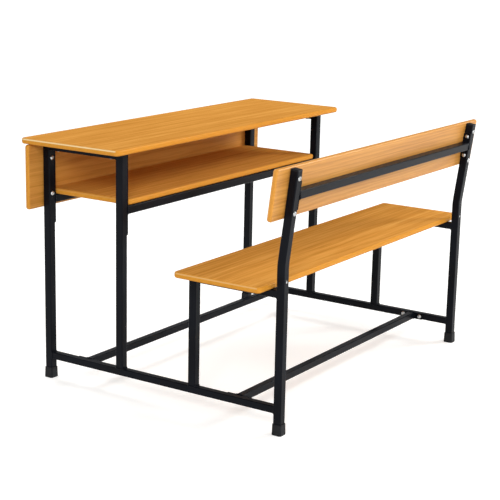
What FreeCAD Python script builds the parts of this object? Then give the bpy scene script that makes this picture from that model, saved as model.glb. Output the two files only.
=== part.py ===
import FreeCAD, Part
import math
import os
import re
import Sketcher

Vector = FreeCAD.Vector
Rotation = FreeCAD.Rotation

# Two-seat school desk with a fixed bench: two welded side frames of square steel tube,
# bolted cross rails and five laminate boards.
# +X runs along the boards, +Y is the way the pupil faces, +Z is up, in millimetres.

# Driving dimensions: name, value, meaning.
# Setbacks are measured forward from the back face of the bench uprights at the floor.
SIZES = [
    ("board_length", 1250, "length of the desktop, seat, backrest and modesty panel"),
    ("board_thickness", 18, "thickness of the desktop, seat and book shelf"),
    ("panel_thickness", 16, "thickness of the modesty panel and backrest"),
    ("board_corner", 14, "corner radius of the lying boards, in plan"),
    ("panel_corner", 8, "corner radius of the standing boards, seen from the front"),
    ("board_round", 6, "rounding of the board edges"),
    ("desk_height", 755, "floor to the top of the desktop"),
    ("desktop_overhang", 33, "desktop behind the back face of the rear legs"),
    ("desktop_nosing", 17, "desktop in front of the modesty panel"),
    ("seat_height", 435, "floor to the top of the seat"),
    ("seat_gap", 15, "uprights to the back edge of the seat"),
    ("seat_overhang", 11, "seat in front of the front face of the bench legs"),
    ("book_space", 142, "height of the book compartment, shelf to desktop"),
    ("shelf_end_gap", 8, "shelf end to the inner face of the legs"),
    ("shelf_inset", 3, "shelf edge in front of the back face of the rear legs"),
    ("panel_height", 196, "modesty panel, top to bottom"),
    ("panel_drop", 2, "top of the modesty panel below the desktop"),
    ("backrest_height", 146, "backrest board, measured along its lean"),
    ("backrest_rise", 200, "bend of the upright to the middle of the backrest, along the lean"),
    ("board_overhang", 63, "ends of the long boards beyond the outer faces of the side frames"),
    ("leg_size", 25, "outside of the square leg tube"),
    ("leg_corner", 3, "outside corner radius of the leg tube"),
    ("rail_size", 22, "outside of the square rail tube"),
    ("rail_corner", 2.5, "outside corner radius of the rail tube"),
    ("tube_wall", 1.5, "wall of both tubes"),
    ("bench_leg_setback", 294, "to the back face of the bench front legs"),
    ("rear_leg_setback", 560, "to the back face of the rear desk legs"),
    ("front_leg_setback", 838, "to the back face of the front desk legs"),
    ("rail_clearance", 61.5, "floor to the underside of the bottom rails"),
    ("cross_gap", 130, "middle of a bottom cross rail to the upright or front leg next to it"),
    ("bend_rise", 55, "top of the seat to the bend of the uprights"),
    ("bend_radius", 160, "bend of the upright on its centre line"),
    ("lean_angle", 7.3, "lean of the backrest from upright, in degrees"),
    ("upright_drop", 8, "end of the upright tube below the top edge of the backrest"),
    ("backrest_rail_drop", 3.5, "middle of the backrest rail below the middle of the backrest"),
    ("plate_thickness", 3, "end plates of the rails that join the two side frames"),
    ("plate_length", 86, "end plates of the cross rails and the backrest rail, along their bolts"),
    ("plate_corner", 5, "corner radius of the end plates"),
    ("plate_bolt_reach", 31, "middle of a rail to each bolt of its end plate"),
    ("shelf_plate_gap", 2, "long end plates of the shelf rails, below the desktop"),
    ("shelf_plate_drop", 63, "long end plates of the shelf rails, on below their rail"),
    ("shelf_bolt_drop", 19, "upper bolt of a long end plate below its rail"),
    ("shelf_bolt_pitch", 28, "between the two bolts of a long end plate"),
    ("boot_height", 32, "push-on foot boot"),
    ("boot_floor", 5, "boot under the end of the leg"),
    ("boot_wall", 2, "boot wall at its top edge"),
    ("boot_flare", 1.2, "how much wider each side of the boot is at the floor"),
    ("fit_clearance", 0.2, "gap round a leg in its boot and a plug in its tube"),
    ("cap_height", 5, "head of the plug on an upright"),
    ("cap_round", 2.5, "rounding of the plug's head"),
    ("cap_stem", 16, "plug inside the tube"),
    ("bolt_head", 14, "diameter of the frame bolt heads"),
    ("bolt_rise", 4, "height of the frame bolt heads"),
    ("bolt_shank", 6, "diameter of the frame bolts"),
    ("plate_bolt_grip", 14, "frame bolt under its head, at the end plates"),
    ("board_grip", 11, "depth of a bolt or screw in a board"),
    ("hole_clearance", 0.25, "gap round a bolt or screw in its hole"),
    ("panel_bolt_reach", 54, "middle of the modesty panel to its bolts, up and down"),
    ("backrest_bolt_reach", 49, "middle of the backrest rail to the backrest bolts, along the lean"),
    ("screw_head", 9, "diameter of the board screw heads"),
    ("screw_rise", 3, "height of the board screw heads"),
    ("screw_shank", 4.5, "diameter of the board screws"),
    ("screw_margin", 26, "screw of the desktop to the leg beside it"),
    ("seat_screw_margin", 82, "screw of the seat to the upright or leg beside it"),
    ("shelf_screw_margin", 120, "screw of the shelf to the end of the shelf"),
    ("rivet_head", 7, "diameter of the rivets on the uprights"),
    ("rivet_rise", 1.5, "height of the rivet heads"),
    ("rivet_lift", 7, "top of the seat to the middle of the rivets"),
    ("nut_body", 9, "diameter of the rivet nuts in the frame and the threaded inserts in the boards"),
    ("nut_length", 12, "rivet nut, from the face of the tube inwards"),
    ("nut_collar", 12, "diameter of the collar that a set rivet nut forms behind the tube wall"),
    ("nut_collar_length", 2, "length of that collar"),
]
ALIASES = [alias for alias, size, meaning in SIZES]

doc = FreeCAD.newDocument("SchoolDesk")
sheet = doc.addObject("Spreadsheet::Sheet", "dims")
for row, (alias, size, meaning) in enumerate(SIZES, start=1):
    sheet.set(f"A{row}", meaning)
    sheet.set(f"B{row}", str(size))
    sheet.setAlias(f"B{row}", alias)
doc.recompute()


def cells(text):
    """Write the sheet's aliases in a formula as references to its cells."""
    return re.sub(r"[a-z_]+", lambda word: "dims." + word[0] if word[0] in ALIASES else word[0], text)


parts = []
probe = doc.addObject("App::FeaturePython", "probe")


def number(text):
    return float(probe.evalExpression(cells(text)))


# Places that several pieces share, as formulas of the driving dimensions.
LEAN = "(lean_angle * 1 deg)"
LEG_X = "(board_length / 2 - board_overhang - leg_size / 2)"
LEG_INNER = f"({LEG_X} - leg_size / 2)"
RAIL_INNER = f"({LEG_X} - rail_size / 2)"
LEG_BORE = "(leg_size - 2 * tube_wall)"
RAIL_TOP = "(rail_clearance + rail_size)"
RAIL_MIDDLE = "(rail_clearance + rail_size / 2)"
TOP_UNDER = "(desk_height - board_thickness)"
SEAT_UNDER = "(seat_height - board_thickness)"
SHELF_UNDER = f"({TOP_UNDER} - book_space - board_thickness)"
SHELF_RAIL_MIDDLE = f"({SHELF_UNDER} - leg_size / 2)"
SHELF_PLATE_LOW = f"({SHELF_UNDER} - leg_size - shelf_plate_drop)"
SHELF_PLATE_LENGTH = f"({TOP_UNDER} - shelf_plate_gap - {SHELF_PLATE_LOW})"
SHELF_PLATE_MIDDLE = f"({SHELF_PLATE_LOW} + {SHELF_PLATE_LENGTH} / 2)"
SHELF_BOLT_TOP = f"({SHELF_UNDER} - leg_size - shelf_bolt_drop)"
SHELF_BOLTS = [SHELF_BOLT_TOP, f"({SHELF_BOLT_TOP} - shelf_bolt_pitch)"]
UPRIGHT_Y = "(leg_size / 2)"
BENCH_LEG_Y = "(bench_leg_setback + leg_size / 2)"
REAR_LEG_Y = "(rear_leg_setback + leg_size / 2)"
FRONT_LEG_Y = "(front_leg_setback + leg_size / 2)"
PANEL_Y = "(front_leg_setback + leg_size)"
REAR_CROSS_Y = "(leg_size + cross_gap)"
FRONT_CROSS_Y = "(front_leg_setback - cross_gap)"
DESKTOP_Y = "(rear_leg_setback - desktop_overhang)"
DESKTOP_FRONT = f"({PANEL_Y} + panel_thickness + desktop_nosing)"
SEAT_Y = "(leg_size + seat_gap)"
SEAT_DEPTH = "(bench_leg_setback + seat_overhang - seat_gap)"
SHELF_Y = "(rear_leg_setback + shelf_inset)"
PANEL_BOTTOM = f"({TOP_UNDER} - panel_drop - panel_height)"
BOLT_HOLE = "(bolt_shank + 2 * hole_clearance)"
NUT_HOLE = "(nut_body + 2 * hole_clearance)"
SCREW_HOLE = "(screw_shank + 2 * hole_clearance)"
BEND_HEIGHT = "(seat_height + bend_rise)"
BACK_RAIL_RISE = "(backrest_rise - backrest_rail_drop)"
UPRIGHT_RISE = "(backrest_rise + backrest_height / 2 - upright_drop)"
BACK_BOLT_TOP = f"({BACK_RAIL_RISE} + backrest_bolt_reach)"
BACK_BOLT_LOW = f"({BACK_RAIL_RISE} - backrest_bolt_reach)"
PANEL_ROWS = [f"(panel_height / 2 {step} panel_bolt_reach)" for step in "+-"]

# The origin is on the floor under the middle of the whole desk: from the front edge of the
# desktop to the heads of the upper backrest bolts.
BACK_END = f"({UPRIGHT_Y} - {BACK_BOLT_TOP} * sin({LEAN}) - (leg_size / 2 + bolt_rise) * cos({LEAN}))"
ORIGIN_Y = f"(({DESKTOP_FRONT} + {BACK_END}) / 2)"


def bind(item, prop, text):
    item.setExpression(prop, cells(text))


def place(item, x, y, z, leans=False):
    """Put a piece at X, Y, Z, given as formulas; a leaning piece turns back about X."""
    if leans:
        item.Placement = FreeCAD.Placement(Vector(), Rotation(Vector(1, 0, 0), number("lean_angle")))
        bind(item, "Placement.Rotation.Angle", LEAN)
    bind(item, "Placement.Base.x", x)
    bind(item, "Placement.Base.y", f"{y} - {ORIGIN_Y}")
    bind(item, "Placement.Base.z", z)


def place_on_lean(item, x, forward, rise):
    """Put a leaning piece RISE up the bent part of the uprights, FORWARD of their centre line."""
    y = f"{UPRIGHT_Y} - {rise} * sin({LEAN}) + {forward} * cos({LEAN})"
    place(item, x, y, f"{BEND_HEIGHT} + {rise} * cos({LEAN}) + {forward} * sin({LEAN})", leans=True)


def new_body(label):
    body = doc.addObject("PartDesign::Body", label)
    body.Label = label
    parts.append(body)
    return body


def sketch_on(body, role, name, height=None):
    """A sketch on one of the body's own planes, or HEIGHT above it."""
    plane = next(feature for feature in body.Origin.OriginFeatures if feature.Role == role)
    sketch = body.newObject("Sketcher::SketchObject", name)
    sketch.AttachmentSupport = [(plane, "")]
    sketch.MapMode = "FlatFace"
    if height:
        bind(sketch, "AttachmentOffset.Base.z", height)
    return sketch


def constrain(sketch, kind, *where, value=None):
    """Add one constraint; VALUE is a formula that drives it."""
    if value is None:
        sketch.addConstraint(Sketcher.Constraint(kind, *where))
        return
    index = sketch.addConstraint(Sketcher.Constraint(kind, *where, number(value)))
    bind(sketch, f"Constraints[{index}]", value)


# The sketcher's own numbers for the points of a line or arc, and for the axes of a sketch.
START, END, MIDDLE = range(1, 4)
AXIS_UP, AXIS_ACROSS = range(-2, 0)
ORIGIN = (AXIS_ACROSS, START)


def rounded_loop(sketch, width, height, radius, centred=True):
    """A rectangle with rounded corners, about the origin or with its first corner there."""
    wide, high, round_ = number(width), number(height), number(radius)
    left = -wide / 2 if centred else 0
    low = -high / 2 if centred else 0
    corners = [(left + wide - round_, low + round_), (left + wide - round_, low + high - round_),
               (left + round_, low + high - round_), (left + round_, low + round_)]
    lines, arcs = [], []
    for turn in range(4):
        begin = math.radians(90 * turn - 90)
        centre = Vector(*corners[turn], 0)
        before = Vector(*corners[turn - 1], 0)
        out = round_ * Vector(math.cos(begin), math.sin(begin), 0)
        lines.append(sketch.addGeometry(Part.LineSegment(before + out, centre + out)))
        circle = Part.Circle(centre, Vector(0, 0, 1), round_)
        arcs.append(sketch.addGeometry(Part.ArcOfCircle(circle, begin, begin + math.pi / 2)))
    for turn in range(4):
        constrain(sketch, "Tangent", lines[turn], END, arcs[turn], START)
        constrain(sketch, "Tangent", arcs[turn - 1], END, lines[turn], START)
        constrain(sketch, "Vertical" if turn % 2 else "Horizontal", lines[turn])
    for arc in arcs[1:]:
        constrain(sketch, "Equal", arcs[0], arc)
    constrain(sketch, "Radius", arcs[0], value=radius)
    constrain(sketch, "DistanceX", arcs[3], MIDDLE, arcs[0], MIDDLE, value=f"{width} - 2 * {radius}")
    constrain(sketch, "DistanceY", arcs[0], MIDDLE, arcs[1], MIDDLE, value=f"{height} - 2 * {radius}")
    if centred:
        constrain(sketch, "Symmetric", arcs[3], MIDDLE, arcs[1], MIDDLE, *ORIGIN)
    else:
        constrain(sketch, "DistanceX", *ORIGIN, arcs[3], MIDDLE, value=radius)
        constrain(sketch, "DistanceY", *ORIGIN, arcs[3], MIDDLE, value=radius)


def tube_section(sketch, size, corner):
    bore = f"({size} - 2 * tube_wall)"
    rounded_loop(sketch, size, size, corner)
    rounded_loop(sketch, bore, bore, f"({corner} - tube_wall)")


PLANE_ACROSS = {"X": "YZ_Plane", "Y": "XZ_Plane", "Z": "XY_Plane"}


def pad(body, sketch, length, backwards=False, both_ways=False):
    feature = body.newObject("PartDesign::Pad", "Pad")
    feature.Profile = sketch
    feature.Reversed = backwards
    feature.Midplane = both_ways
    bind(feature, "Length", length)
    return feature


def tube(label, axis, length, size, corner):
    """A straight hollow tube: along X about its middle, or along Y or Z from its start."""
    body = new_body(label)
    section = sketch_on(body, PLANE_ACROSS[axis], "Section")
    tube_section(section, size, corner)
    pad(body, section, length, backwards=axis == "Y", both_ways=axis == "X")
    return body


def drill(body, axis, centres, diameter, depth=None, towards=1, mirrored=False):
    """Drill round holes along AXIS from the middle plane: through, or DEPTH deep one way.

    Each centre is a pair of formulas on the plane across AXIS, with "0" on an axis of it.
    """
    doc.recompute()
    before = body.Shape.Volume
    sketch = sketch_on(body, PLANE_ACROSS[axis], "Holes")
    for across, up in centres:
        at = Vector(number(across), number(up), 0)
        circle = sketch.addGeometry(Part.Circle(at, Vector(0, 0, 1), number(diameter) / 2))
        constrain(sketch, "Diameter", circle, value=diameter)
        if across == "0":
            constrain(sketch, "PointOnObject", circle, MIDDLE, AXIS_UP)
        else:
            constrain(sketch, "DistanceX", *ORIGIN, circle, MIDDLE, value=across)
        if up == "0":
            constrain(sketch, "PointOnObject", circle, MIDDLE, AXIS_ACROSS)
        else:
            constrain(sketch, "DistanceY", *ORIGIN, circle, MIDDLE, value=up)
        if mirrored:
            opposite = Part.Circle(Vector(-at.x, at.y, 0), Vector(0, 0, 1), number(diameter) / 2)
            twin = sketch.addGeometry(opposite)
            constrain(sketch, "Equal", circle, twin)
            constrain(sketch, "Symmetric", circle, MIDDLE, twin, MIDDLE, AXIS_UP)
    pocket = body.newObject("PartDesign::Pocket", "Drilling")
    pocket.Profile = sketch
    if depth is None:
        pocket.SideType = "Symmetric"
        pocket.Type = "ThroughAll"
    else:
        normal = -1 if axis == "Y" else 1
        pocket.Reversed = towards == normal
        bind(pocket, "Length", depth)
    doc.recompute()
    if body.Shape.Volume >= before:
        raise RuntimeError(f"the holes of {body.Label} cut nothing")


def board(label, across, length, depth, thickness, corner):
    """A board with rounded corners and edges; it lies flat, or stands where ACROSS is Y."""
    body = new_body(label)
    outline = sketch_on(body, PLANE_ACROSS[across], "Outline")
    rounded_loop(outline, length, depth, corner, centred=False)
    slab = pad(body, outline, thickness, backwards=across == "Y")
    doc.recompute()
    rims = []
    for index, edge in enumerate(slab.Shape.Edges, start=1):
        level = [vertex.Point.y if across == "Y" else vertex.Point.z for vertex in edge.Vertexes]
        if abs(level[0] - level[-1]) < number("board_round"):
            rims.append(f"Edge{index}")
    rounding = body.newObject("PartDesign::Fillet", "Rounding")
    rounding.Base = (slab, rims)
    bind(rounding, "Radius", "board_round")
    return body


SIDES = {"left": -1, "right": 1}

# Side frames: seven tubes each, welded where they meet.
for side, sign in SIDES.items():
    leg_x = f"{sign} * {LEG_X}"

    # Desk front leg, from its boot to the desktop, with two bolts through it into the panel
    # and two bolts of the shelf back rail in its inner wall.
    front_leg = tube(f"{side}_front_leg", "Z", f"{TOP_UNDER} - boot_floor", "leg_size", "leg_corner")
    place(front_leg, leg_x, FRONT_LEG_Y, "boot_floor")
    panel_holes = [("0", f"{PANEL_BOTTOM} + {row} - boot_floor") for row in PANEL_ROWS]
    drill(front_leg, "Y", panel_holes, BOLT_HOLE)
    shelf_holes = [("0", f"{bolt} - boot_floor") for bolt in SHELF_BOLTS]
    drill(front_leg, "X", shelf_holes, NUT_HOLE, "leg_size", -sign)

    # Desk rear leg, standing on the bottom rail.
    rear_leg = tube(f"{side}_rear_leg", "Z", f"{TOP_UNDER} - {RAIL_TOP}", "leg_size", "leg_corner")
    place(rear_leg, leg_x, REAR_LEG_Y, RAIL_TOP)
    shelf_holes = [("0", f"{bolt} - {RAIL_TOP}") for bolt in SHELF_BOLTS]
    drill(rear_leg, "X", shelf_holes, NUT_HOLE, "leg_size", -sign)

    # Top rail between the two desk legs, screwed up into the desktop.
    top_span = "(front_leg_setback - rear_leg_setback - leg_size)"
    top_rail = tube(f"{side}_top_rail", "Y", top_span, "rail_size", "rail_corner")
    place(top_rail, leg_x, "rear_leg_setback + leg_size", f"{TOP_UNDER} - rail_size / 2")
    drill(top_rail, "Z", [("0", "screw_margin"), ("0", f"{top_span} - screw_margin")], SCREW_HOLE)

    # Bottom rail between the front leg and the upright, with the bolts of both cross rails.
    bottom_span = "(front_leg_setback - leg_size)"
    bottom_rail = tube(f"{side}_bottom_rail", "Y", bottom_span, "rail_size", "rail_corner")
    place(bottom_rail, leg_x, "leg_size", RAIL_MIDDLE)
    cross_holes = [(f"{middle} {step} plate_bolt_reach - leg_size", "0")
                   for middle in (REAR_CROSS_Y, FRONT_CROSS_Y) for step in "+-"]
    drill(bottom_rail, "X", cross_holes, NUT_HOLE, "rail_size", -sign)

    # Bench front leg, standing on the bottom rail under the front of the seat.
    bench_leg = tube(f"{side}_bench_leg", "Z", f"{SEAT_UNDER} - {RAIL_TOP}", "leg_size", "leg_corner")
    place(bench_leg, leg_x, BENCH_LEG_Y, RAIL_TOP)

    # Seat rail between the bench leg and the upright, screwed up into the seat.
    seat_span = "(bench_leg_setback - leg_size)"
    seat_rail = tube(f"{side}_seat_rail", "Y", seat_span, "rail_size", "rail_corner")
    place(seat_rail, leg_x, "leg_size", f"{SEAT_UNDER} - rail_size / 2")
    seat_holes = [("0", "seat_screw_margin"), ("0", f"{seat_span} - seat_screw_margin")]
    drill(seat_rail, "Z", seat_holes, SCREW_HOLE)

    # Bench upright: one tube bent back above the seat. Its own frame stands at the bend,
    # with Z up the leaning part, and the lower part runs down to the boot.
    upright = new_body(f"{side}_back_upright")
    route = sketch_on(upright, "YZ_Plane", "Route")
    lean = math.radians(number("lean_angle"))
    tangent = number("bend_radius") * math.tan(lean / 2)
    down = Vector(-math.sin(lean), -math.cos(lean), 0)
    up = Vector(0, 1, 0)
    shaft = route.addGeometry(Part.LineSegment(up * number(UPRIGHT_RISE), up * tangent))
    centre = Vector(-number("bend_radius"), tangent, 0)
    bend_circle = Part.Circle(centre, Vector(0, 0, 1), number("bend_radius"))
    bend = route.addGeometry(Part.ArcOfCircle(bend_circle, -lean, 0))
    leg = route.addGeometry(Part.LineSegment(down * number(f"{BEND_HEIGHT} - boot_floor"), down * tangent))
    constrain(route, "PointOnObject", shaft, START, AXIS_UP)
    constrain(route, "Vertical", shaft)
    constrain(route, "Tangent", shaft, END, bend, END)
    constrain(route, "Tangent", leg, END, bend, START)
    constrain(route, "PointOnObject", *ORIGIN, leg)
    constrain(route, "Radius", bend, value="bend_radius")
    constrain(route, "DistanceY", *ORIGIN, shaft, START, value=UPRIGHT_RISE)
    constrain(route, "Distance", *ORIGIN, leg, START, value=f"{BEND_HEIGHT} - boot_floor")
    constrain(route, "Angle", leg, value=f"90 deg - {LEAN}")
    section = sketch_on(upright, "XY_Plane", "Section", height=UPRIGHT_RISE)
    tube_section(section, "leg_size", "leg_corner")
    doc.recompute()
    sweep = upright.newObject("PartDesign::AdditivePipe", "Sweep")
    sweep.Profile = section
    sweep.Spine = (route, ["Edge1", "Edge2", "Edge3"])
    place(upright, leg_x, UPRIGHT_Y, BEND_HEIGHT, leans=True)
    drill(upright, "Y", [("0", BACK_BOLT_TOP), ("0", BACK_BOLT_LOW)], BOLT_HOLE)
    rail_holes = [("0", f"{BACK_RAIL_RISE} {step} plate_bolt_reach") for step in "+-"]
    drill(upright, "X", rail_holes, NUT_HOLE, "leg_size", -sign)

    # Plug that closes the top of the upright: a pillow head over a square stem.
    cap = new_body(f"{side}_upright_cap")
    head_outline = sketch_on(cap, "XY_Plane", "HeadOutline")
    rounded_loop(head_outline, "leg_size", "leg_size", "leg_corner")
    head = pad(cap, head_outline, "cap_height")
    doc.recompute()
    crown = [f"Edge{index}" for index, edge in enumerate(head.Shape.Edges, start=1)
             if min(vertex.Point.z for vertex in edge.Vertexes) > number("cap_height / 2")]
    rounding = cap.newObject("PartDesign::Fillet", "Rounding")
    rounding.Base = (head, crown)
    bind(rounding, "Radius", "cap_round")
    stem_outline = sketch_on(cap, "XY_Plane", "StemOutline")
    stem_size = f"({LEG_BORE} - 2 * fit_clearance)"
    rounded_loop(stem_outline, stem_size, stem_size, "(leg_corner - tube_wall)")
    pad(cap, stem_outline, "cap_stem", backwards=True)
    place_on_lean(cap, leg_x, "0", UPRIGHT_RISE)

    # Flared boots under the front leg and the upright.
    for foot, foot_y in (("front", FRONT_LEG_Y), ("back", UPRIGHT_Y)):
        boot = new_body(f"{side}_{foot}_boot")
        socket_size = "(leg_size + 2 * fit_clearance)"
        top_size = f"({socket_size} + 2 * boot_wall)"
        sole = sketch_on(boot, "XY_Plane", "Sole")
        rounded_loop(sole, f"({top_size} + 2 * boot_flare)", f"({top_size} + 2 * boot_flare)",
                     "(leg_corner + boot_wall + boot_flare)")
        mouth = sketch_on(boot, "XY_Plane", "Mouth", height="boot_height")
        rounded_loop(mouth, top_size, top_size, "(leg_corner + boot_wall)")
        flare = boot.newObject("PartDesign::AdditiveLoft", "Flare")
        flare.Profile = sole
        flare.Sections = [mouth]
        flare.Ruled = True
        socket = sketch_on(boot, "XY_Plane", "Socket", height="boot_height")
        rounded_loop(socket, socket_size, socket_size, "(leg_corner + fit_clearance)")
        hollow = boot.newObject("PartDesign::Pocket", "Hollow")
        hollow.Profile = socket
        bind(hollow, "Length", "boot_height - boot_floor")
        place(boot, leg_x, foot_y, "0")


# Cross rails, each with an end plate that bolts to the inner face of a side frame.
def cross_rail(label, size, corner, frame_face, plate_size, bolts):
    """A rail along X with its two end plates; returns the rail and the plates by side."""
    rail = tube(label, "X", f"2 * ({frame_face} - plate_thickness)", size, corner)
    plates = {}
    for side in SIDES:
        plate = new_body(f"{label}_{side}_plate")
        outline = sketch_on(plate, "YZ_Plane", "Outline")
        rounded_loop(outline, *plate_size, "plate_corner")
        pad(plate, outline, "plate_thickness", backwards=side == "right")
        drill(plate, "X", bolts, BOLT_HOLE)
        plates[side] = plate
    return rail, plates


# The two cross rails near the floor, with lying plates on the bottom rails.
lying_plate = ("plate_length", "rail_size")
lying_bolts = [("plate_bolt_reach", "0"), ("-plate_bolt_reach", "0")]
for label, rail_y in (("front_cross_rail", FRONT_CROSS_Y), ("rear_cross_rail", REAR_CROSS_Y)):
    rail, plates = cross_rail(label, "rail_size", "rail_corner", RAIL_INNER, lying_plate, lying_bolts)
    place(rail, "0", rail_y, RAIL_MIDDLE)
    for side, plate in plates.items():
        place(plate, f"{SIDES[side]} * {RAIL_INNER}", rail_y, RAIL_MIDDLE)

# The two rails that carry the book shelf. Their plates cover the inner faces of the legs from
# the desktop to the bolts below the shelf.
long_plate = ("leg_size", SHELF_PLATE_LENGTH)
long_bolts = [("0", f"{bolt} - {SHELF_PLATE_MIDDLE}") for bolt in SHELF_BOLTS]
SHELF_LENGTH = f"(2 * ({LEG_INNER} - shelf_end_gap))"
SHELF_SCREW_X = f"({SHELF_LENGTH} / 2 - shelf_screw_margin)"
for label, leg_y in (("shelf_front_rail", REAR_LEG_Y), ("shelf_back_rail", FRONT_LEG_Y)):
    rail, plates = cross_rail(label, "leg_size", "leg_corner", LEG_INNER, long_plate, long_bolts)
    drill(rail, "Z", [(SHELF_SCREW_X, "0")], SCREW_HOLE, mirrored=True)
    place(rail, "0", leg_y, SHELF_RAIL_MIDDLE)
    for side, plate in plates.items():
        place(plate, f"{SIDES[side]} * {LEG_INNER}", leg_y, SHELF_PLATE_MIDDLE)

# The rail behind the backrest, with standing plates on the leaning uprights.
standing_plate = ("leg_size", "plate_length")
standing_bolts = [("0", "plate_bolt_reach"), ("0", "-plate_bolt_reach")]
rail, plates = cross_rail("backrest_rail", "leg_size", "leg_corner", LEG_INNER,
                          standing_plate, standing_bolts)
place_on_lean(rail, "0", "0", BACK_RAIL_RISE)
for side, plate in plates.items():
    place_on_lean(plate, f"{SIDES[side]} * {LEG_INNER}", "0", BACK_RAIL_RISE)

# Boards, with blind holes for the screws and bolts that hold them.
BOARD_START = "-board_length / 2"
BOARD_HOLE = "(board_grip + hole_clearance)"


def at_both_frames(rows):
    """Holes in line with the legs of both frames, from the board's first corner."""
    return [(f"board_length / 2 {step} {LEG_X}", row) for step in "-+" for row in rows]


DESKTOP_DEPTH = f"({DESKTOP_FRONT} - {DESKTOP_Y})"
desktop = board("desktop", "Z", "board_length", DESKTOP_DEPTH, "board_thickness", "board_corner")
place(desktop, BOARD_START, DESKTOP_Y, TOP_UNDER)
TOP_SCREWS = ["(rear_leg_setback + leg_size + screw_margin)", "(front_leg_setback - screw_margin)"]
desktop_rows = [f"{at} - {DESKTOP_Y}" for at in TOP_SCREWS]
drill(desktop, "Z", at_both_frames(desktop_rows), SCREW_HOLE, BOARD_HOLE)

seat = board("bench_seat", "Z", "board_length", SEAT_DEPTH, "board_thickness", "board_corner")
place(seat, BOARD_START, SEAT_Y, SEAT_UNDER)
SEAT_SCREWS = ["(leg_size + seat_screw_margin)", "(bench_leg_setback - seat_screw_margin)"]
seat_rows = [f"{at} - {SEAT_Y}" for at in SEAT_SCREWS]
drill(seat, "Z", at_both_frames(seat_rows), SCREW_HOLE, BOARD_HOLE)

SHELF_DEPTH = f"({PANEL_Y} - {SHELF_Y})"
shelf = board("book_shelf", "Z", SHELF_LENGTH, SHELF_DEPTH, "board_thickness", "board_corner")
place(shelf, f"-{SHELF_LENGTH} / 2", SHELF_Y, SHELF_UNDER)
shelf_screws = [(f"{SHELF_LENGTH} / 2 {step} {SHELF_SCREW_X}", f"{leg_y} - {SHELF_Y}")
                for step in "-+" for leg_y in (REAR_LEG_Y, FRONT_LEG_Y)]
drill(shelf, "Z", shelf_screws, SCREW_HOLE, BOARD_HOLE)

panel = board("modesty_panel", "Y", "board_length", "panel_height", "panel_thickness", "panel_corner")
place(panel, BOARD_START, PANEL_Y, PANEL_BOTTOM)
drill(panel, "Y", at_both_frames(PANEL_ROWS), NUT_HOLE, BOARD_HOLE)

backrest = board("backrest", "Y", "board_length", "backrest_height", "panel_thickness", "panel_corner")
BACKREST_FOOT = "(backrest_rise - backrest_height / 2)"
place_on_lean(backrest, BOARD_START, "leg_size / 2", BACKREST_FOOT)
backrest_rows = [f"{at} - {BACKREST_FOOT}" for at in (BACK_BOLT_TOP, BACK_BOLT_LOW)]
drill(backrest, "Y", at_both_frames(backrest_rows), NUT_HOLE, BOARD_HOLE)


# Fasteners: one turned shape of each kind, set at every place where it is used.
def turned(name, corners):
    """A shape turned about Z from its half outline, with its inner end at the origin."""
    body = doc.addObject("PartDesign::Body", name)
    outline = sketch_on(body, "XZ_Plane", "Outline")
    points = [Vector(number(across), number(up), 0) for across, up in corners]
    for index, point in enumerate(points):
        outline.addGeometry(Part.LineSegment(point, points[(index + 1) % len(points)]))
    for index, (across, up) in enumerate(corners):
        constrain(outline, "Coincident", index, START, (index - 1) % len(points), END)
        if across == "0":
            constrain(outline, "PointOnObject", index, START, AXIS_UP)
        else:
            constrain(outline, "DistanceX", *ORIGIN, index, START, value=across)
        if up == "0":
            constrain(outline, "PointOnObject", index, START, AXIS_ACROSS)
        else:
            constrain(outline, "DistanceY", *ORIGIN, index, START, value=up)
    turning = body.newObject("PartDesign::Revolution", "Turning")
    turning.Profile = outline
    turning.ReferenceAxis = (outline, ["V_Axis"])
    doc.recompute()
    return body


def headed_pin(name, head, rise, shank, grip):
    """A bolt or screw with a bevelled round head."""
    rim, stem, bevel = f"{head} / 2", f"{shank} / 2", f"{head} / 2 - {rise} / 2"
    return turned(name, [("0", "0"), (stem, "0"), (stem, grip), (rim, grip), (rim, f"{grip} + {rise} / 2"),
                         (bevel, f"{grip} + {rise}"), ("0", f"{grip} + {rise}")])


def fasteners(label, pattern, grip, seats):
    """Separate solids of one kind in one node; each seat is the place at their outer end and its heading."""
    group = doc.addObject("Part::Feature", label)
    group.Label = label
    solids = []
    for seat_at, heading in seats:
        solid = pattern.Shape.copy()
        tip = seat_at - heading * number(grip)
        solid.Placement = FreeCAD.Placement(tip, Rotation(Vector(0, 0, 1), heading))
        solids.append(solid)
    group.Shape = Part.makeCompound(solids)
    group.Placement = FreeCAD.Placement(Vector(0, -number(ORIGIN_Y), 0), Rotation())
    parts.append(group)


def spot(x, y, z):
    return Vector(number(x), number(y), number(z))


def lean_spot(x, forward, rise):
    lean = math.radians(number("lean_angle"))
    n, s = number(forward), number(rise)
    y = number(UPRIGHT_Y) - s * math.sin(lean) + n * math.cos(lean)
    return Vector(number(x), y, number(BEND_HEIGHT) + s * math.cos(lean) + n * math.sin(lean))


BACKWARD = Vector(0, -1, 0)
DOWNWARD = Vector(0, 0, -1)
LEAN_BACK = Rotation(Vector(1, 0, 0), number("lean_angle")).multVec(BACKWARD)
INWARD = {"left": Vector(1, 0, 0), "right": Vector(-1, 0, 0)}

LEG_GRIP = "leg_size + board_grip"
through_bolt = headed_pin("through_bolt", "bolt_head", "bolt_rise", "bolt_shank", LEG_GRIP)
plate_bolt = headed_pin("plate_bolt", "bolt_head", "bolt_rise", "bolt_shank", "plate_bolt_grip")
RAIL_GRIP = "rail_size + board_grip"
rail_screw = headed_pin("rail_screw", "screw_head", "screw_rise", "screw_shank", RAIL_GRIP)
shelf_screw = headed_pin("shelf_screw", "screw_head", "screw_rise", "screw_shank", LEG_GRIP)

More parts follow.
